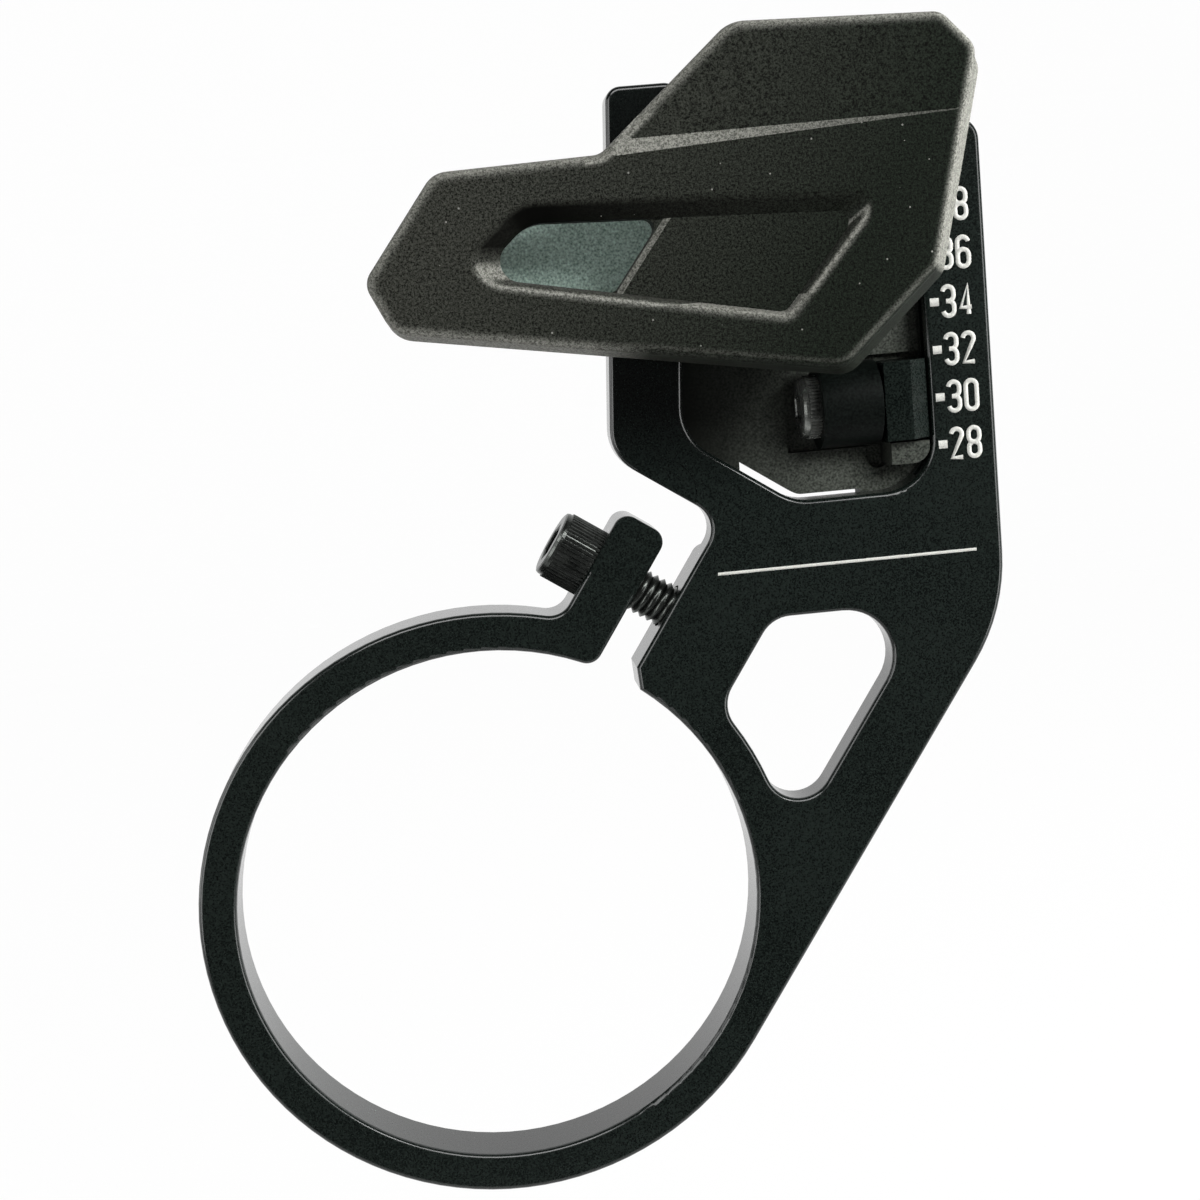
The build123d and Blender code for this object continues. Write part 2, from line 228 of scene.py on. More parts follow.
class ShaderGraph(NodeGraph):
    """Node tree of one material or of the world."""

    def coordinates(self) -> Value:
        """Object coordinates of the surface, in metres."""
        return self.node("ShaderNodeTexCoord", output="Object")

    def along(self, axis: str) -> Value:
        """One of the object coordinates, by its letter, in metres."""
        return self.node("ShaderNodeSeparateXYZ", {}, {0: self.coordinates()}, axis)

    def facing(self, axis: str) -> Value:
        """Part of the outward normal along one axis, by its letter."""
        normal = self.node("ShaderNodeNewGeometry", output="Normal")
        return self.node("ShaderNodeSeparateXYZ", {}, {0: normal}, axis)

    def inside(self, zone: Zone) -> Value:
        """Mask of a zone.

        Args:
            zone: Box in the part's frame.

        Returns:
            One inside the zone, else zero.
        """
        masks = []
        for axis, start, end in zip("XYZ", zone.low, zone.high):
            place = self.along(axis)
            masks.append((place > start) * (place < end))
        return masks[0] * masks[1] * masks[2]

    def noise(self, grain: float, detail: float = 2.0) -> Value:
        """Soft noise from zero to one.

        Args:
            grain: Size of one blotch in metres.
            detail: Number of finer octaves.

        Returns:
            The noise value.
        """
        inputs = {"Vector": self.coordinates(), "Scale": 1.0 / grain, "Detail": detail}
        return self.node("ShaderNodeTexNoise", {"normalize": True}, inputs, "Fac")

    def specks(self, spacing: float, share: float, radius: float) -> Value:
        """Sparse round specks.

        Args:
            spacing: Distance between the places where a speck can be, in metres.
            share: Share of the places that hold a speck.
            radius: Speck radius as a share of the spacing.

        Returns:
            One on a speck, else zero.
        """
        inputs = {"Vector": self.coordinates(), "Scale": 1.0 / spacing}
        distance = self.node("ShaderNodeTexVoronoi", {}, inputs, "Distance")
        chance = self.node("ShaderNodeTexVoronoi", {}, inputs, "Color")
        return (distance < radius) * (chance < share)

    def mix(self, factor: Value, low: Colour | Value, high: Colour | Value) -> Value:
        """Colour between two colours.

        Args:
            factor: Zero for the low colour, one for the high colour.
            low: First colour, written or from a node.
            high: Second colour, written or from a node.

        Returns:
            The mixed colour.
        """
        settings = {"data_type": "RGBA", "clamp_factor": True}
        ends = [end if isinstance(end, Value) else (*end, 1.0) for end in (low, high)]
        return self.node("ShaderNodeMix", settings, {0: factor, 6: ends[0], 7: ends[1]}, 2)

    def bump(self, height: Value, depth: float, strength: float) -> Value:
        """Normal from a height value.

        Args:
            height: Height from zero to one.
            depth: Real height of one, in metres.
            strength: Share of the effect.

        Returns:
            The bent normal.
        """
        return self.node("ShaderNodeBump", {}, {"Height": height, "Distance": depth, "Strength": strength})

    def seen_directly(self) -> Value:
        """Mask of the rays that show a surface to the camera.

        Returns:
            One for rays from the camera and for those that a gloss or glass sends on, else zero.
        """
        camera = self.node("ShaderNodeLightPath", output="Is Camera Ray")
        gloss = self.node("ShaderNodeLightPath", output="Is Glossy Ray")
        glass = self.node("ShaderNodeLightPath", output="Is Transmission Ray")
        return camera.largest(gloss).largest(glass)


class Finish:
    """Base of every finish: a named material with one surface shader."""

    name: str

    def shade(self, graph: ShaderGraph) -> Mapping[str, object]:
        """What each socket of the surface shader takes, as values or numbers."""
        raise NotImplementedError

    def surface(self, graph: ShaderGraph) -> Value:
        """Surface shader of the finish."""
        return graph.node("ShaderNodeBsdfPrincipled", {}, self.shade(graph))

    def material(self) -> bpy.types.Material:
        """Builds the finish, or finds it if it is built.

        Returns:
            The material.
        """
        found = bpy.data.materials.get(self.name)
        if found:
            return found
        made = bpy.data.materials.new(self.name)
        made.use_nodes = True
        graph = ShaderGraph(made.node_tree)
        graph.node("ShaderNodeOutputMaterial", {}, {"Surface": self.surface(graph)})
        return made


@dataclass(frozen=True)
class AnodisedAluminium(Finish):
    """Blasted and black anodised aluminium, satin with a fine grain, with a painted shadow up the fork's
    left limb.
    """

    name: str = "anodised_aluminium"
    dark: Colour = (0.0006, 0.0016, 0.0013)
    light: Colour = (0.0112, 0.0163, 0.0138)
    grain: float = 0.15 * MM
    cloud: float = 9.0 * MM
    cloud_share: float = 0.15
    contrast: float = 3.0
    roughness: float = 0.28
    grain_swing: float = 0.16
    cloud_swing: float = 0.06
    specular: float = 0.15
    coat: float = 0.7
    coat_roughness: float = 0.15
    bump_depth: float = 0.012 * MM
    bump_strength: float = 0.35
    limb_edge: float = 24.5 * MM
    limb_start: float = 33.0 * MM
    limb_run: float = 10.0 * MM
    limb_black: float = 0.7

    def limb(self, graph: ShaderGraph) -> Value:
        """Mask of the painted shadow that the outer plate casts up the fork's left limb, with a soft start
        at its root.
        """
        height = graph.along("Z").ramp(self.limb_start, self.limb_run)
        return height.clamped() * (graph.along("X") < self.limb_edge)

    def shade(self, graph: ShaderGraph) -> Mapping[str, object]:
        """Sockets of the satin black surface.

        Args:
            graph: Node tree of the finish.

        Returns:
            What each socket takes.
        """
        grain = graph.noise(self.grain)
        cloud = graph.noise(self.cloud)
        pattern = grain.blended(cloud, self.cloud_share).stretched(self.contrast)
        # Painted shadow: the light colour is darkened up the fork's left limb.
        light = graph.mix(self.limb_black * self.limb(graph), self.light, self.dark)
        return {
            "Base Color": graph.mix(pattern, self.dark, light),
            "Roughness": self.roughness + grain.swing(self.grain_swing) + cloud.swing(self.cloud_swing),
            "Specular IOR Level": self.specular,
            "Coat Weight": self.coat,
            "Coat Roughness": self.coat_roughness,
            "Normal": graph.bump(grain, self.bump_depth, self.bump_strength),
        }


@dataclass(frozen=True)
class SparkTexturedNylon(Finish):
    """Charcoal moulded nylon: spark-eroded texture, pale fibre ends, painted highlights on its edges,
    painted light that dims away from the nose, and painted shade on the recess's top wall.
    """

    name: str = "spark_textured_nylon"
    dark: Colour = (0.0015, 0.0017, 0.0012)
    nose_light: Colour = (0.069, 0.070, 0.059)
    tail_light: Colour = (0.0135, 0.0186, 0.0130)
    edge_dark: Colour = (0.08, 0.082, 0.070)
    edge_light: Colour = (0.29, 0.29, 0.26)
    grain: float = 0.22 * MM
    fine: float = 0.11 * MM
    fine_share: float = 0.4
    contrast: float = 3.4
    edge_contrast: float = 4.0
    roughness: float = 0.5
    roughness_swing: float = 0.2
    specular: float = 0.04
    bump_depth: float = 0.02 * MM
    bump_strength: float = 0.4
    speck: Colour = (0.22, 0.22, 0.20)
    speck_spacing: float = 0.9 * MM
    speck_share: float = 0.2
    speck_radius: float = 0.09
    drift_start: float = -46.0 * MM
    drift_run: float = 47.7 * MM
    drift_slant: float = 0.58
    plate_back: float = -13.4 * MM
    recess: Zone = Zone((0.0, -19.0 * MM, 51.2 * MM), (36.0 * MM, -13.4 * MM, 61.2 * MM))
    crease: Zone = Zone((12.0 * MM, -19.0 * MM, 61.3 * MM), (40.0 * MM, -13.4 * MM, 66.0 * MM))
    edge_gain: float = 2.0
    recess_gain: float = 2.4
    crease_gain: float = 6.0
    steep_gain: float = 4.0
    steep_start: float = 1.3
    steep_share: float = 0.85
    under_start: float = 11.0 * MM
    under_run: float = 5.0 * MM
    under_gain: float = 3.0
    under_lag: float = 0.6
    hidden_gain: float = 5.0
    hidden_lead: float = 0.6
    hidden_share: float = 0.97
    shade_gain: float = 1.8
    shade_least: float = 0.1
    shade_rise: float = 1.2

    def fading(self, graph: ShaderGraph, zone: Zone) -> Value:
        """One at the left end of a zone, zero at its right end and outside it."""
        left, right = zone.low[0], zone.high[0]
        return graph.along("X").ramp(right, left - right) * graph.inside(zone)

    def drift(self, graph: ShaderGraph) -> Value:
        """Painted light across the plate: zero at the lit nose and top, one at the shaded lower right."""
        slant = graph.along("X") - self.drift_slant * graph.along("Z")
        return slant.ramp(self.drift_start, self.drift_run)

    def overhung(self, graph: ShaderGraph, gain: float, lead: float) -> Value:
        """One on the walls of the recess that face down.

        Args:
            graph: Node tree of the finish.
            gain: How fast it rises as a wall turns down.
            lead: What it has where a wall faces sideways.

        Returns:
            The mask.
        """
        return (lead - gain * graph.facing("Z")).clamped() * graph.inside(self.recess)

    def underside(self, graph: ShaderGraph) -> Value:
        """One on the plate's lower edge from the window on to the right, where the painted edge highlight is
        weaker.
        """
        reached = graph.along("X").ramp(self.under_start, self.under_run).clamped()
        return (-self.under_gain * graph.facing("Z") - self.under_lag).clamped() * reached

    def rubbed(self, graph: ShaderGraph) -> Value:
        """Mask of the painted highlights on the edges of the front relief.

        Args:
            graph: Node tree of the finish.

        Returns:
            One on the edges, fading to zero on the flats and under the overhangs.
        """
        lean = 1.0 - graph.facing("Y") * graph.facing("Y")
        recess = graph.inside(self.recess)
        crease = self.fading(graph, self.crease)
        gain = self.edge_gain + self.recess_gain * recess + self.crease_gain * crease
        crest = 1.0 - recess * (self.steep_gain * lean - self.steep_start).clamped() * self.steep_share
        hidden = self.overhung(graph, self.hidden_gain, self.hidden_lead)
        kept = 1.0 - self.hidden_share * self.underside(graph).largest(hidden)
        return (lean * gain).clamped() * crest * kept * (graph.along("Y") < self.plate_back)

    def shade(self, graph: ShaderGraph) -> Mapping[str, object]:
        """Sockets of the textured surface.

        Args:
            graph: Node tree of the finish.

        Returns:
            What each socket takes.
        """
        texture = graph.noise(self.grain).blended(graph.noise(self.fine, detail=1.0), self.fine_share)
        # Painted light: the body is painted lighter at the nose and top and darker towards the lower right.
        light = graph.mix(self.drift(graph), self.nose_light, self.tail_light)
        body = graph.mix(texture.stretched(self.contrast), self.dark, light)
        # Painted highlight: the relief's edges are painted paler, less on the lower edge and under the
        # overhangs.
        highlight = graph.mix(texture.stretched(self.edge_contrast), self.edge_dark, self.edge_light)
        highlighted = graph.mix(self.rubbed(graph), body, highlight)
        # Painted shade: the recess walls that face down are painted dark, most at the left.
        depth = self.shade_least + self.shade_rise * self.fading(graph, self.recess)
        shade = self.overhung(graph, self.shade_gain, 0.0) * depth
        relief = graph.mix(shade, highlighted, self.dark)
        specks = graph.specks(self.speck_spacing, self.speck_share, self.speck_radius)
        return {
            "Base Color": graph.mix(specks, relief, self.speck),
            "Roughness": self.roughness + texture.swing(self.roughness_swing),
            "Specular IOR Level": self.specular,
            "Normal": graph.bump(texture, self.bump_depth, self.bump_strength),
        }


@dataclass(frozen=True)
class SatinNylon(Finish):
    """Smooth grey moulded nylon with painted shadow at its left, a greener chain side painted pale as
    painted light, and a black bush.
    """

    name: str = "satin_nylon"
    dark: Colour = (0.012, 0.014, 0.0115)
    left_light: Colour = (0.018, 0.020, 0.017)
    right_light: Colour = (0.094, 0.102, 0.088)
    drift_start: float = 21.0 * MM
    drift_run: float = 11.0 * MM
    liner: Zone = Zone((-20.0 * MM, -5.0 * MM, 45.5 * MM), (60.0 * MM, -4.45 * MM, 90.0 * MM))
    liner_dark: Colour = (0.16, 0.235, 0.195)
    liner_light: Colour = (0.63, 0.80, 0.71)
    bush: Zone = Zone((31.5 * MM, -6.0 * MM, 37.65 * MM), (36.9 * MM, 1.7 * MM, 45.15 * MM))
    bush_dark: Colour = (0.0002, 0.0005, 0.0004)
    bush_light: Colour = (0.0060, 0.0082, 0.0070)
    grain: float = 0.20 * MM
    flow: float = 6.0 * MM
    flow_share: float = 0.2
    contrast: float = 2.2
    roughness: float = 0.46
    roughness_swing: float = 0.12
    specular: float = 0.06
    bump_depth: float = 0.012 * MM
    bump_strength: float = 0.35

    def shade(self, graph: ShaderGraph) -> Mapping[str, object]:
        """Sockets of the smooth surface.

        Args:
            graph: Node tree of the finish.

        Returns:
            What each socket takes.
        """
        grain = graph.noise(self.grain, detail=1.0)
        pattern = grain.blended(graph.noise(self.flow), self.flow_share).stretched(self.contrast)
        # Painted shadow: the nylon is painted darker at its left, where the outer plate and the fork's limb
        # shade it.
        drift = graph.along("X").ramp(self.drift_start, self.drift_run)
        body = graph.mix(pattern, self.dark, graph.mix(drift, self.left_light, self.right_light))
        # The chain side has its own greener tone, painted far paler than it is: painted light in the shaded
        # channel.
        liner = graph.mix(pattern, self.liner_dark, self.liner_light)
        with_lit_chain_side = graph.mix(graph.inside(self.liner), body, liner)
        bush = graph.mix(pattern, self.bush_dark, self.bush_light)
        return {
            "Base Color": graph.mix(graph.inside(self.bush), with_lit_chain_side, bush),
            "Roughness": self.roughness + grain.swing(self.roughness_swing),
            "Specular IOR Level": self.specular,
            "Normal": graph.bump(grain, self.bump_depth, self.bump_strength),
        }


@dataclass(frozen=True)
class BlackOxideSteel(Finish):
    """Black oxide on steel, with a thin oily gloss that is worn in patches."""

    name: str = "black_oxide_steel"
    dark: Colour = (0.007, 0.008, 0.0075)
    light: Colour = (0.100, 0.108, 0.100)
    grain: float = 0.25 * MM
    patch: float = 1.6 * MM
    patch_share: float = 0.5
    contrast: float = 2.0
    metallic: float = 0.8
    roughness: float = 0.27
    roughness_swing: float = 0.2
    bump_depth: float = 0.008 * MM
    bump_strength: float = 0.3

    def shade(self, graph: ShaderGraph) -> Mapping[str, object]:
        """Sockets of the oxide surface.

        Args:
            graph: Node tree of the finish.

        Returns:
            What each socket takes.
        """
        grain = graph.noise(self.grain, detail=3.0)
        patch = graph.noise(self.patch)
        pattern = grain.blended(patch, self.patch_share).stretched(self.contrast)
        return {
            "Base Color": graph.mix(pattern, self.dark, self.light),
            "Metallic": self.metallic,
            "Roughness": self.roughness + patch.swing(self.roughness_swing),
            "Normal": graph.bump(grain, self.bump_depth, self.bump_strength),
        }


@dataclass(frozen=True)
class EtchedMark(Finish):
    """Warm light grey left where a laser has taken the anodising away."""

    name: str = "etched_mark"
    dark: Colour = (0.44, 0.44, 0.41)
    light: Colour = (0.70, 0.70, 0.655)
    grain: float = 0.12 * MM
    contrast: float = 1.8
    roughness: float = 0.6
    roughness_swing: float = 0.2
    bump_depth: float = 0.006 * MM
    bump_strength: float = 0.3

    def shade(self, graph: ShaderGraph) -> Mapping[str, object]:
        """Sockets of the etched surface.

        Args:
            graph: Node tree of the finish.

        Returns:
            What each socket takes.
        """
        grain = graph.noise(self.grain, detail=1.0)
        return {
            "Base Color": graph.mix(grain.stretched(self.contrast), self.dark, self.light),
            "Roughness": self.roughness + grain.swing(self.roughness_swing),
            "Normal": graph.bump(grain, self.bump_depth, self.bump_strength),
        }


@dataclass(frozen=True)
class StudioPaper(Finish):
    """White paper of the floor and backdrop, seen as white and keeping a faint shadow."""

    name: str = "studio_paper"
    colour: Colour = (0.9, 0.9, 0.9)
    white_share: float = 0.975

    def surface(self, graph: ShaderGraph) -> Value:
        """Matt paper with the white that the camera sees.

        Args:
            graph: Node tree of the finish.

        Returns:
            The surface shader.
        """
        paper = graph.node("ShaderNodeBsdfDiffuse", {}, {"Color": (*self.colour, 1.0)})
        white = graph.node("ShaderNodeEmission", {}, {"Color": WHITE, "Strength": 1.0})
        share = graph.seen_directly() * self.white_share
        return graph.node("ShaderNodeMixShader", {}, {0: share, 1: paper, 2: white})


class GeometryGraph(NodeGraph):
    """Geometry Nodes tree with named inputs and one mesh as its result."""

    def __init__(self, name: str) -> None:
        """Starts a tree that takes a geometry and gives one back.

        Args:
            name: Name of the tree.
        """
        super().__init__(bpy.data.node_groups.new(name, "GeometryNodeTree"))
        for way in ("INPUT", "OUTPUT"):
            self.tree.interface.new_socket("Geometry", in_out=way, socket_type="NodeSocketGeometry")
        self.identifiers: dict[str, str] = {}
        self.source = self.tree.nodes.new("NodeGroupInput")

    def number(self, name: str, whole: bool = False) -> None:
        """Adds a named input.

        Args:
            name: Name of the input.
            whole: True for a count, false for a size.
        """
        kind = "NodeSocketInt" if whole else "NodeSocketFloat"
        socket = self.tree.interface.new_socket(name, in_out="INPUT", socket_type=kind)
        self.identifiers[name] = socket.identifier

    def given(self, name: str) -> Value:
        """Named input as a value."""
        return Value(self, self.source.outputs[name])

    def close(self, geometry: Value, material: bpy.types.Material) -> None:
        """Ends the tree with real meshes in one material.

        Args:
            geometry: Geometry to end with.
            material: Material of all its faces.
        """
        real = self.node("GeometryNodeRealizeInstances", {}, {"Geometry": geometry})
        dressed = self.node("GeometryNodeSetMaterial", {}, {"Geometry": real, "Material": material})
        self.node("NodeGroupOutput", {}, {0: dressed})

    def run(self, source: bpy.types.Object, values: Mapping[str, float], place: Matrix) -> bpy.types.Object:
        """Runs the tree on an object and keeps the result as a plain mesh.

        Args:
            source: Object whose geometry the tree takes; it is removed.
            values: Numbers for the named inputs.
            place: Transform from the tree's space to the part's frame.

        Returns:
            A new mesh object at the origin with the source's name.
        """
        modifier = source.modifiers.new("nodes", "NODES")
        modifier.node_group = self.tree
        for name, value in values.items():
            modifier[self.identifiers[name]] = value
        depsgraph = bpy.context.evaluated_depsgraph_get()
        mesh = bpy.data.meshes.new_from_object(source.evaluated_get(depsgraph))
        source.modifiers.remove(modifier)
        name = source.name
        bpy.data.objects.remove(source)
        mesh.transform(place)
        return link_data(name, mesh)


def link_data(name: str, data: bpy.types.ID) -> bpy.types.Object:
    """Puts a mesh, curve, lamp or camera into the scene.

    Args:
        name: Name of the new object.
        data: What the object shows.

    Returns:
        The new object, at the origin.
    """
    made = bpy.data.objects.new(name, data)
    bpy.context.scene.collection.objects.link(made)
    return made


@dataclass(frozen=True)
class Row:
    """One row of a turned mesh: its height, radius and section."""

    height: float
    radius: float
    shape: RingShape = RingShape.ROUND

    def reach(self, angle: float) -> float:
        """Distance from the axis at an angle.

        Args:
            angle: Angle round the axis in radians.

        Returns:
            The distance; a hexagon's radius is the one to its flats.
        """
        if self.shape is RingShape.ROUND:
            return self.radius
        side = math.pi / 3
        return self.radius / math.cos(angle % side - side / 2)


def turned(rows: Sequence[Row], segments: int) -> bpy.types.Mesh:
    """Closed mesh turned about Z from rows that run from one end to the other.

    Args:
        rows: Rows from the middle of one end to the middle of the other.
        segments: Number of sides.

    Returns:
        The mesh.
    """
    built = bmesh.new()
    rings = []
    for row in rows:
        ring = []
        for index in range(segments):
            angle = 2 * math.pi * index / segments
            reach = row.reach(angle)
            ring.append(built.verts.new((reach * math.cos(angle), reach * math.sin(angle), row.height)))
        rings.append(ring)
    for low, high in zip(rings, rings[1:]):
        for index in range(segments):
            after = (index + 1) % segments
            built.faces.new((low[index], low[after], high[after], high[index]))
    built.faces.new(reversed(rings[0]))
    built.faces.new(rings[-1])
    bmesh.ops.recalc_face_normals(built, faces=built.faces[:])
    mesh = bpy.data.meshes.new("turned")
    built.to_mesh(mesh)
    built.free()
    return mesh


@dataclass(frozen=True)
class CapScrew:
    """Socket cap screw with a knurled head and a cut thread, seated under its head."""

    name: str
    node: str
    body: Body
    seat: Vector
    direction: Vector
    length: float
    finish: Finish
    head_radius: float
    head_height: float
    socket_half: float
    thread_radius: float
    pitch: float
    head_round: float = 0.3 * MM
    knurl_depth: float = 0.14 * MM
    knurls: int = 48
    socket_bevel: float = 0.12 * MM
    round_share: float = 0.3
    thread_share: float = 0.6
    segments: int = 72
    ridge_sides: int = 6
    helix_steps: int = 40
    crest_sides: int = 4

    @property
    def socket_depth(self) -> float:
        """Depth of the hexagon."""
        return self.head_height / 2

    @property
    def thread_depth(self) -> float:
        """Depth of the thread."""
        return self.thread_share * self.pitch

    def blank(self) -> bpy.types.Object:
        """Head and core of the screw before knurling and threading, head down on Z.

        Returns:
            The blank, with its seat at the origin and its shank along +Z.
        """
        top = -self.head_height
        side = self.head_radius - self.knurl_depth
        core = self.thread_radius - self.thread_depth
        shoulder = self.round_share * self.head_round
        hexagon = RingShape.HEXAGON
        rows = [
            Row(top + self.socket_depth, self.socket_half, hexagon),
            Row(top + self.socket_bevel, self.socket_half, hexagon),
            Row(top, self.socket_half + self.socket_bevel, hexagon),
            Row(top, side - self.head_round),
            Row(top + shoulder, side - shoulder),
            Row(top + self.head_round, side),
            Row(-self.head_round, side),
            Row(0.0, side - self.head_round),
            Row(0.0, core),
            Row(self.length - self.thread_depth, core),
            Row(self.length, core - self.thread_depth),
        ]
        return link_data(self.name, turned(rows, self.segments))

    def sizes(self) -> dict[str, float]:
        """Sizes that the cutter takes.

        Returns:
            Each size by its name.
        """
        run = self.length - self.thread_depth
        return {
            "Head Radius": self.head_radius - self.knurl_depth,
            "Head Height": self.head_height - 2 * self.head_round,
            "Ridge Radius": self.knurl_depth,
            "Ridges": self.knurls,
            "Thread Radius": self.thread_radius - self.thread_depth,
            "Thread Depth": self.thread_depth,
            "Turns": run / self.pitch,
            "Run": run,
        }

    def cutter(self) -> GeometryGraph:
        """Tree that adds the knurl's ridges and the thread's helix to the blank.

        Returns:
            The tree.
        """
        graph = GeometryGraph("knurled_cap_screw")
        for name, size in self.sizes().items():
            graph.number(name, whole=isinstance(size, int))
        places = graph.node("GeometryNodeMeshCircle", {}, {
            "Vertices": graph.given("Ridges"), "Radius": graph.given("Head Radius"),
        })
        ridge = graph.node("GeometryNodeMeshCylinder", {}, {
            "Vertices": self.ridge_sides, "Radius": graph.given("Ridge Radius"),
            "Depth": graph.given("Head Height"),
        })
        ridges = graph.node("GeometryNodeInstanceOnPoints", {}, {"Points": places, "Instance": ridge})
        drop = graph.node("ShaderNodeCombineXYZ", {}, {"Z": -0.5 * graph.given("Head Height")})
        lowered = graph.node("GeometryNodeTransform", {}, {"Geometry": ridges, "Translation": drop})
        helix = graph.node("GeometryNodeCurveSpiral", {}, {
            "Resolution": self.helix_steps, "Rotations": graph.given("Turns"), "Height": graph.given("Run"),
            "Start Radius": graph.given("Thread Radius"), "End Radius": graph.given("Thread Radius"),
        })
        crest = graph.node("GeometryNodeCurvePrimitiveCircle", {"mode": "RADIUS"}, {
            "Resolution": self.crest_sides, "Radius": graph.given("Thread Depth"),
        })
        upright = graph.node("GeometryNodeSetCurveNormal", {"mode": "Z_UP"}, {"Curve": helix})
        thread = graph.node("GeometryNodeCurveToMesh", {}, {
            "Curve": upright, "Profile Curve": crest, "Fill Caps": True,
        })
        parts = [graph.given("Geometry"), lowered, thread]
        joined = graph.node("GeometryNodeJoinGeometry", {}, {"Geometry": parts})
        graph.close(joined, self.finish.material())
        return graph

    def build(self) -> bpy.types.Object:
        """Makes the screw in its place and lets it stand for its node.

        Returns:
            The finished screw.
        """
        turn = Vector((0.0, 0.0, 1.0)).rotation_difference(self.direction).to_matrix().to_4x4()
        made = self.cutter().run(self.blank(), self.sizes(), Matrix.Translation(self.seat) @ turn)
        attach(made, self.body.value)
        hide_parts(self.node)
        return made


@dataclass(frozen=True)
class Stroke:
    """One stroke of a mark: its middle line, and whether its ends meet."""

    points: tuple[Point, ...]
    closed: bool = False

    def moved(self, right: float, up: float) -> "Stroke":
        """Same stroke further to the right and up."""
        return Stroke(tuple((x + right, y + up) for x, y in self.points), self.closed)


def arc(centre: Point, radius: float, start: float, end: float, steps: int = 14) -> tuple[Point, ...]:
    """Points along an arc.

    Args:
        centre: Centre of the arc.
        radius: Its radius.
        start: First angle in degrees.
        end: Last angle in degrees.
        steps: Number of equal steps.

    Returns:
        The points from start to end.
    """
    angles = [math.radians(start + (end - start) * step / steps) for step in range(steps + 1)]
    return tuple((centre[0] + radius * math.cos(a), centre[1] + radius * math.sin(a)) for a in angles)


@dataclass(frozen=True)
class NarrowDigits:
    """Plain narrow digits drawn by a stroke of one width."""

    height: float = 2.9 * MM
    width: float = 1.36 * MM
    stroke: float = 0.40 * MM
    gap: float = 0.18 * MM
    hook_angle: float = 170.0
    two_turn: float = -25.0
    three_reach: float = 0.6
    four_stem: float = 0.72
    four_bar: float = 0.24
    six_turn: float = 10.0
    six_loop: float = 0.58

    @property
    def advance(self) -> float:
        """Distance from one digit to the next."""
        return self.width + self.gap

    @property
    def across(self) -> float:
        """Width of a digit's middle line."""
        return self.width - self.stroke

    @property
    def tall(self) -> float:
        """Height of a digit's middle line."""
        return self.height - self.stroke

    @property
    def radius(self) -> float:
        """Radius of a digit's round parts."""
        return self.across / 2

    def strokes(self, digit: str) -> list[Stroke]:
        """Strokes of one digit, from its lower left corner.

        Args:
            digit: One of the digits that the scale uses.

        Returns:
            The strokes.
        """
        drawn = {
            "0": self._zero, "2": self._two, "3": self._three,
            "4": self._four, "6": self._six, "8": self._eight,
        }
        inset = self.stroke / 2
        return [stroke.moved(inset, inset) for stroke in drawn[digit]()]

    def _bend(self, height: float, start: float, end: float) -> tuple[Point, ...]:
        """Arc about a middle at a height, between two angles."""
        return arc((self.radius, height), self.radius, start, end)

    def _loop(self, low: float, high: float) -> Stroke:
        """Closed loop with round ends between two heights."""
        ends = self._bend(high - self.radius, 0, 180) + self._bend(low + self.radius, 180, 360)
        return Stroke(ends, closed=True)

    def _zero(self) -> list[Stroke]:
        """Digit nought."""
        return [self._loop(0.0, self.tall)]

    def _two(self) -> list[Stroke]:
        """Digit two."""
        top = self._bend(self.tall - self.radius, self.hook_angle, self.two_turn)
        return [Stroke(top + ((0.0, 0.0), (self.across, 0.0)))]

    def _three(self) -> list[Stroke]:
        """Digit three, as two strokes that meet at its waist.

        Returns:
            The strokes.
        """
        waist = self.tall / 2
        start = ((self.three_reach * self.radius, waist),)
        upper = self._bend(self.tall - self.radius, self.hook_angle, 0)
        upper += self._bend(waist + self.radius, 0, -90)
        lower = self._bend(waist - self.radius, 90, 0)
        lower += self._bend(self.radius, 0, -self.hook_angle)
        return [Stroke(upper + start), Stroke(start + lower)]

    def _four(self) -> list[Stroke]:
        """Digit four."""
        stem, bar = self.four_stem * self.across, self.four_bar * self.tall
        return [Stroke(((stem, 0.0), (stem, self.tall), (0.0, bar), (self.across, bar)))]

    def _six(self) -> list[Stroke]:
        """Digit six."""
        top = self._bend(self.tall - self.radius, self.six_turn, 180)
        return [Stroke(top + ((0.0, self.radius),)), self._loop(0.0, self.six_loop * self.tall)]

    def _eight(self) -> list[Stroke]:
        """Digit eight."""
        return [self._loop(self.tall / 2, self.tall), self._loop(0.0, self.tall / 2)]


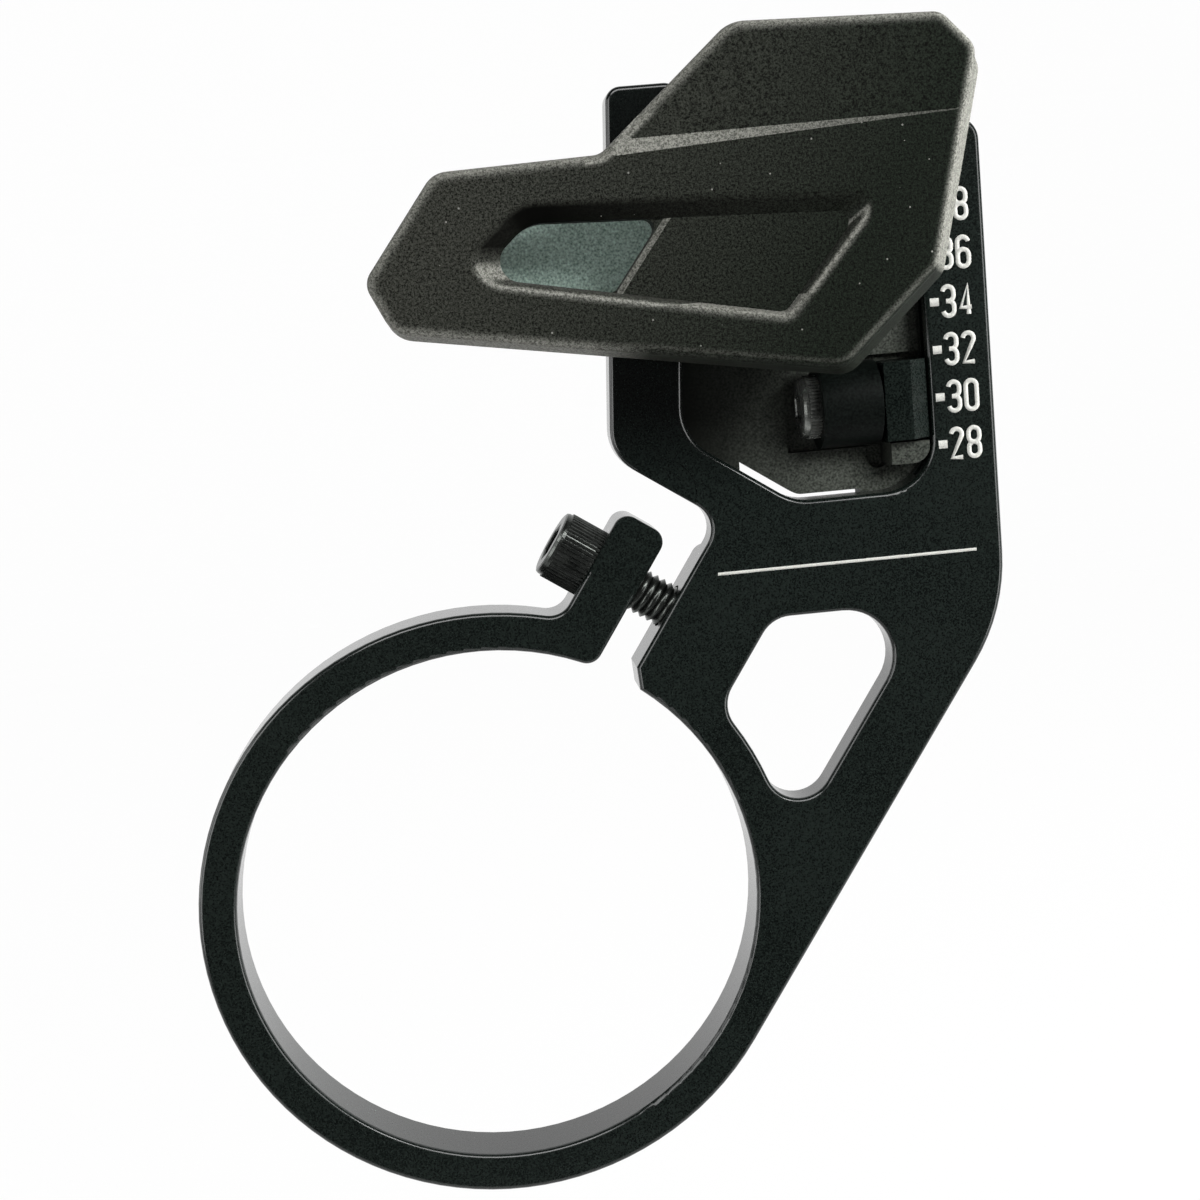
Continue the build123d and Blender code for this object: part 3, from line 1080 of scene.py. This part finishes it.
@dataclass(frozen=True)
class ScaleMarks:
    """Etched scale on the rail, with a tick and a number for every second tooth, and a line below it."""

    face: float
    finish: Finish
    digits: NarrowDigits = NarrowDigits()
    first_tooth: int = 28
    last_tooth: int = 38
    tooth_step: int = 2
    first_height: float = 37.2 * MM
    rise: float = 4.1 * MM
    tick_x: float = 42.3 * MM
    tick_length: float = 0.78 * MM
    tick_height: float = 0.70 * MM
    number_x: float = 42.85 * MM
    line_x: Point = (21.7 * MM, 44.7 * MM)
    line_height: float = 27.75 * MM
    line_width: float = 0.26 * MM
    thickness: float = 0.02 * MM
    overlap: float = 0.004 * MM

    def rows(self) -> list[tuple[int, float]]:
        """Numbers on the scale with their heights."""
        numbers = range(self.first_tooth, self.last_tooth + 1, self.tooth_step)
        return [(number, self.first_height + index * self.rise) for index, number in enumerate(numbers)]

    def number_strokes(self) -> list[Stroke]:
        """Strokes of all the numbers.

        Returns:
            The strokes in the plate's X and Z.
        """
        strokes = []
        for number, height in self.rows():
            low = height - self.digits.height / 2
            for place, digit in enumerate(str(number)):
                left = self.number_x + place * self.digits.advance
                strokes += [stroke.moved(left, low) for stroke in self.digits.strokes(digit)]
        return strokes

    def tick_strokes(self) -> list[Stroke]:
        """Strokes of all the ticks."""
        left, right = self.tick_x - self.tick_length / 2, self.tick_x + self.tick_length / 2
        return [Stroke(((left, height), (right, height))) for _, height in self.rows()]

    def line_strokes(self) -> list[Stroke]:
        """Stroke of the plain line under the fork."""
        return [Stroke(((self.line_x[0], self.line_height), (self.line_x[1], self.line_height)))]

    def pen(self) -> GeometryGraph:
        """Tree that turns flat curves into strokes of one width.

        Returns:
            The tree.
        """
        graph = GeometryGraph("etching_pen")
        graph.number("Width")
        graph.number("Thickness")
        nib = graph.node("GeometryNodeCurvePrimitiveQuadrilateral", {"mode": "RECTANGLE"}, {
            "Width": graph.given("Width"), "Height": graph.given("Thickness"),
        })
        flat = graph.node("GeometryNodeSetCurveNormal", {"mode": "Z_UP"}, {"Curve": graph.given("Geometry")})
        drawn = graph.node("GeometryNodeCurveToMesh", {}, {
            "Curve": flat, "Profile Curve": nib, "Fill Caps": True,
        })
        graph.close(drawn, self.finish.material())
        return graph

    def draw(self, name: str, strokes: Sequence[Stroke], width: float) -> bpy.types.Object:
        """Etches strokes into the face.

        Args:
            name: Name of the piece.
            strokes: Strokes in the plate's X and Z.
            width: Stroke width.

        Returns:
            The finished marks.
        """
        curve = bpy.data.curves.new(name, "CURVE")
        for index, stroke in enumerate(strokes):
            spline = curve.splines.new("POLY")
            spline.points.add(len(stroke.points) - 1)
            for point, (x, y) in zip(spline.points, stroke.points):
                point.co = (x, y, (index % 2) * self.overlap, 1.0)
            spline.use_cyclic_u = stroke.closed
        curve.dimensions = "3D"
        source = link_data(name, curve)
        upright = Matrix.Rotation(math.pi / 2, 4, "X")
        place = Matrix.Translation((0.0, self.face, 0.0)) @ upright
        made = self.pen().run(source, {"Width": width, "Thickness": self.thickness}, place)
        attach(made, Body.BACKPLATE.value)
        return made

    def build(self) -> list[bpy.types.Object]:
        """Etches the numbers, the ticks and the line.

        Returns:
            The finished pieces.
        """
        return [
            self.draw("scale_numbers", self.number_strokes(), self.digits.stroke),
            self.draw("scale_ticks", self.tick_strokes(), self.tick_height),
            self.draw("plain_line", self.line_strokes(), self.line_width),
        ]


@dataclass(frozen=True)
class Softbox:
    """Oblong studio lamp that faces a point."""

    name: str
    place: Vector
    aim: Vector
    width: float
    height: float
    power: float
    reach: Reach = Reach.ALL

    def build(self) -> bpy.types.Object:
        """Hangs the lamp.

        Returns:
            The lamp.
        """
        lamp = bpy.data.lights.new(self.name, "AREA")
        lamp.shape = "RECTANGLE"
        lamp.size = self.width
        lamp.size_y = self.height
        lamp.energy = self.power
        made = link_data(self.name, lamp)
        made.location = self.place
        made.rotation_euler = (self.aim - self.place).to_track_quat("-Z", "Y").to_euler()
        made.visible_diffuse, made.visible_glossy = self.reach.value
        return made


@dataclass(frozen=True)
class Studio:
    """Pale sweep of paper, soft lamps and a dim room."""

    aim: Vector
    paper: StudioPaper = StudioPaper()
    floor_drop: float = 0.09
    back_gap: float = 0.75
    half_width: float = 1.6
    front_gap: float = 0.06
    wall_height: float = 1.6
    bend: float = 0.20
    bend_steps: int = 12
    room_level: float = 0.05

    def sweep(self) -> bpy.types.Object:
        """Floor that bends up into a backdrop.

        Returns:
            The sweep.
        """
        floor = self.aim.z - self.floor_drop
        back = self.aim.y + self.back_gap
        corner = []
        for step in range(self.bend_steps + 1):
            angle = math.pi / 2 * step / self.bend_steps
            corner.append((
                back - self.bend + self.bend * math.sin(angle), floor + self.bend * (1 - math.cos(angle)),
            ))
        line = [(self.aim.y - self.front_gap, floor), *corner, (back, floor + self.wall_height)]
        built = bmesh.new()
        left = [built.verts.new((-self.half_width, y, z)) for y, z in line]
        right = [built.verts.new((self.half_width, y, z)) for y, z in line]
        for index in range(len(line) - 1):
            built.faces.new((left[index], right[index], right[index + 1], left[index + 1]))
        mesh = bpy.data.meshes.new("studio_sweep")
        built.to_mesh(mesh)
        built.free()
        mesh.materials.append(self.paper.material())
        made = link_data("studio_sweep", mesh)
        made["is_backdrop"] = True
        return made

    def room(self) -> None:
        """Dim grey room that shows white to the camera."""
        world = bpy.data.worlds.new("studio_room")
        world.use_nodes = True
        graph = ShaderGraph(world.node_tree)
        camera = graph.node("ShaderNodeLightPath", output="Is Camera Ray")
        level = self.room_level + (1.0 - self.room_level) * camera
        surface = graph.node("ShaderNodeBackground", {}, {"Color": WHITE, "Strength": level})
        graph.node("ShaderNodeOutputWorld", {}, {"Surface": surface})
        bpy.context.scene.world = world

    def lamps(self) -> list[Softbox]:
        """Key, side light, fill and rim, and strips and a glint that only show in gloss.

        Returns:
            The lamps.
        """
        def hung(name: str, offset: Triple, size: Point, power: float, reach: Reach) -> Softbox:
            """One lamp at an offset from the aim."""
            return Softbox(name, self.aim + Vector(offset), self.aim, *size, power, reach)

        return [
            hung("key_softbox", (0.24, -0.42, 0.22), (0.24, 0.18), 3.2, Reach.MATT),
            hung("side_panel", (-0.45, -0.02, 0.02), (0.30, 0.40), 1.0, Reach.ALL),
            hung("front_fill", (-0.06, -0.45, -0.05), (0.30, 0.30), 0.22, Reach.MATT),
            hung("right_rim", (0.40, 0.0, 0.10), (0.10, 0.30), 2.6, Reach.MATT),
            hung("top_strip", (0.0, -0.32, 0.36), (0.45, 0.20), 2.2, Reach.GLOSS),
            hung("screw_glint", (0.28, -0.33, 0.28), (0.08, 0.18), 0.85, Reach.GLOSS),
            hung("left_strip", (-0.36, -0.32, 0.04), (0.20, 0.45), 1.3, Reach.GLOSS),
            hung("right_strip", (0.40, -0.30, 0.0), (0.20, 0.45), 1.5, Reach.GLOSS),
        ]

    def build(self) -> None:
        """Sets up the paper, the lamps and the room."""
        self.sweep()
        self.room()
        for lamp in self.lamps():
            lamp.build()
        bpy.context.scene.view_settings.view_transform = "Standard"


@dataclass(frozen=True)
class PhotoCamera:
    """Camera at the photograph's place, given by its position and its right and up directions."""

    place: Vector = Vector((-0.82, -171.27, 50.94)) * MM
    right: Vector = Vector((0.99272, -0.08350, -0.08686))
    up: Vector = Vector((0.09770, 0.13593, 0.98590))
    focal_pixels: float = 1965.0
    sensor: float = 36.0
    nearest: float = 0.01

    def build(self) -> bpy.types.Object:
        """Sets up the camera and makes it the scene's.

        Returns:
            The camera.
        """
        lens = bpy.data.cameras.new("photo_camera")
        lens.sensor_fit = "HORIZONTAL"
        lens.sensor_width = self.sensor
        lens.lens = self.focal_pixels / IMAGE_PIXELS * self.sensor
        lens.clip_start = self.nearest
        made = link_data("photo_camera", lens)
        back = self.right.cross(self.up)
        turn = Matrix((self.right, self.up, back)).transposed().to_4x4()
        made.matrix_world = Matrix.Translation(self.place) @ turn
        bpy.context.scene.camera = made
        return made


@dataclass(frozen=True)
class ChainGuide:
    """The whole guide: its modelled parts in their finishes, its screws and its marks."""

    nodes: Mapping[str, bpy.types.Object]
    aluminium: Finish = AnodisedAluminium()
    jaw: Finish = AnodisedAluminium(
        name="hard_anodised_aluminium", light=(0.0100, 0.0146, 0.0124), coat=0.0,
    )
    outer_nylon: Finish = SparkTexturedNylon()
    inner_nylon: Finish = SatinNylon()
    steel: Finish = BlackOxideSteel()
    # A paler copy of the oxide steel for the lock screw: painted light that makes its head look lit.
    worn_steel: Finish = BlackOxideSteel(
        name="worn_oxide_steel", dark=(0.025, 0.027, 0.025), light=(0.36, 0.375, 0.35),
    )
    etching: Finish = EtchedMark()
    arm_angle: float = 55.5
    clamp_across: float = -7.9 * MM
    clamp_along: float = 30.4 * MM
    clamp_length: float = 12.0 * MM
    lock_length: float = 7.0 * MM
    lock_head_height: float = 3.0 * MM

    def dress(self) -> None:
        """Gives each modelled part its finish."""
        finishes = {
            "backplate": self.aluminium,
            "lock_jaw": self.jaw,
            "outer_guide": self.outer_nylon,
            "inner_guide": self.inner_nylon,
            "outer_guide_screws": self.steel,
        }
        for name, finish in finishes.items():
            mesh = self.nodes[name].data
            mesh.materials.clear()
            mesh.materials.append(finish.material())
            LOG.info("%s has the finish %s", name, finish.name)

    def clamp_screw(self) -> CapScrew:
        """Screw that closes the ring, across the arm's direction.

        Returns:
            The screw, not yet built.
        """
        angle = math.radians(self.arm_angle)
        across = Vector((math.sin(angle), 0.0, -math.cos(angle)))
        along = Vector((math.cos(angle), 0.0, math.sin(angle)))
        seat = self.clamp_across * across + self.clamp_along * along
        return CapScrew(
            "clamp_cap_screw", "clamp_screw", Body.BACKPLATE, seat, across, self.clamp_length, self.steel,
            head_radius=3.1 * MM, head_height=3.8 * MM, socket_half=1.5 * MM,
            thread_radius=2.0 * MM, pitch=0.7 * MM,
        )

    def lock_screw(self) -> CapScrew:
        """Screw that draws the jaw, along X through the barrel.

        Returns:
            The screw, not yet built.
        """
        low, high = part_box("lock_screw")
        seat = Vector((low.x + self.lock_head_height, (low.y + high.y) / 2, (low.z + high.z) / 2))
        along = Vector((1.0, 0.0, 0.0))
        return CapScrew(
            "lock_cap_screw", "lock_screw", Body.GUIDE, seat, along, self.lock_length, self.worn_steel,
            head_radius=2.75 * MM, head_height=self.lock_head_height, socket_half=1.25 * MM,
            thread_radius=1.5 * MM, pitch=0.5 * MM,
        )

    def build(self) -> list[bpy.types.Object]:
        """Dresses the modelled parts and adds the screws and marks.

        Returns:
            The pieces that were added.
        """
        self.dress()
        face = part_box("backplate")[0].y
        pieces = [self.clamp_screw().build(), self.lock_screw().build()]
        pieces += ScaleMarks(face, self.etching).build()
        return pieces


def main() -> None:
    """Dresses the guide, then sets up the studio and the camera."""
    logging.basicConfig(level=logging.INFO, format="%(message)s")
    for default in ("Cube", "Light", "Camera"):
        if default in bpy.data.objects:
            bpy.data.objects.remove(bpy.data.objects[default])
    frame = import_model()
    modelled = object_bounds()
    for piece in ChainGuide(frame["nodes"]).build():
        LOG.info("%s has %d faces", piece.name, len(piece.data.polygons))
    low, high = modelled
    Studio((Vector(low) + Vector(high)) / 2).build()
    PhotoCamera().build()


if __name__ == "__main__":
    main()
